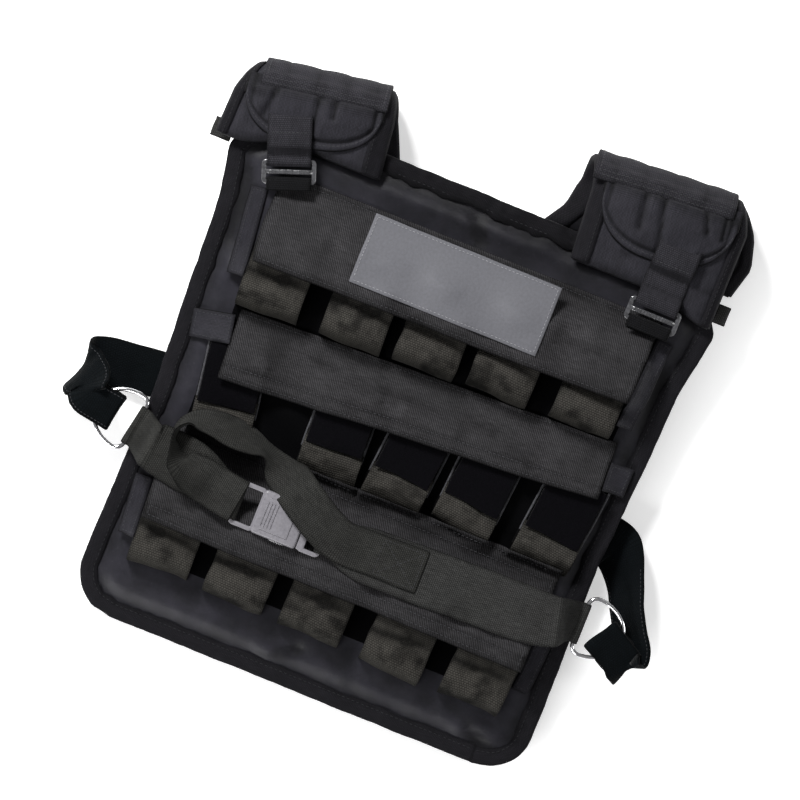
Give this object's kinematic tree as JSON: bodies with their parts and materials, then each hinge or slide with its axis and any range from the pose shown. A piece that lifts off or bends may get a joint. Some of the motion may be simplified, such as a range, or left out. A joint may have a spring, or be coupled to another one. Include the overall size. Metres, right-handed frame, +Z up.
{
  "type": "weighted vest",
  "caption": "Black weighted vest lying front up, with rows of bar pouches under woven flaps, padded shoulder yokes and a buckled waist belt",
  "frame": {"origin": "middle of the underside of the whole vest, on the ground it lies on", "axes": "+Z up from the ground, +Y from hem to shoulders, +X to the right of the front as it is looked at"},
  "size_m": [0.5628, 0.5542, 0.0751],
  "materials": {
    "nylon": "black padded nylon with a satin sheen",
    "yoke_nylon": "matte black nylon padding and bands",
    "flap_weave": "coarse black woven flap",
    "pouch_weave": "coarse black woven pouch",
    "webbing": "black ribbed webbing",
    "binding": "black edge binding tape",
    "grip": "black looped grip tape",
    "label": "bare grey rubberised label",
    "grey_plastic": "grey moulded plastic",
    "black_plastic": "black moulded plastic",
    "steel": "bright plated steel wire"
  },
  "bodies": {
    "root": {"front_panel": "nylon", "back_panel": "nylon", "front_binding": "binding", "back_binding": "binding", "shoulder_pad_left": "yoke_nylon", "shoulder_pad_right": "yoke_nylon", "chest_band_left": "yoke_nylon", "chest_band_right": "yoke_nylon", "hip_band_left": "yoke_nylon", "hip_band_right": "yoke_nylon", "side_tab_left": "yoke_nylon", "side_tab_right": "yoke_nylon", "chest_flap": "flap_weave", "middle_flap": "flap_weave", "lower_flap": "flap_weave", "shoulder_flap_left": "flap_weave", "shoulder_flap_right": "flap_weave", "pouch_top_1": "pouch_weave", "pouch_middle_1": "pouch_weave", "pouch_bottom_1": "pouch_weave", "grip_patch_1": "grip", "pouch_top_2": "pouch_weave", "pouch_middle_2": "pouch_weave", "pouch_bottom_2": "pouch_weave", "grip_patch_2": "grip", "pouch_top_3": "pouch_weave", "pouch_middle_3": "pouch_weave", "pouch_bottom_3": "pouch_weave", "grip_patch_3": "grip", "pouch_top_4": "pouch_weave", "pouch_middle_4": "pouch_weave", "pouch_bottom_4": "pouch_weave", "grip_patch_4": "grip", "pouch_top_5": "pouch_weave", "pouch_middle_5": "pouch_weave", "pouch_bottom_5": "pouch_weave", "grip_patch_5": "grip", "label_patch": "label", "ridge_band_left": "webbing", "ridge_band_right": "webbing", "shoulder_strap_left": "webbing", "shoulder_strap_right": "webbing", "anchor_strap_left": "webbing", "anchor_strap_right": "webbing", "arm_tab_left": "webbing", "arm_tab_right": "webbing", "belt_left": "webbing", "belt_right": "webbing", "tail_strap": "webbing", "tri_glide_left": "black_plastic", "tri_glide_right": "black_plastic", "buckle_body": "grey_plastic", "buckle_latch": "grey_plastic", "ring_left": "steel", "ring_right": "steel", "side_strap_left": "grip", "side_strap_right": "grip"}
  },
  "joints": []
}
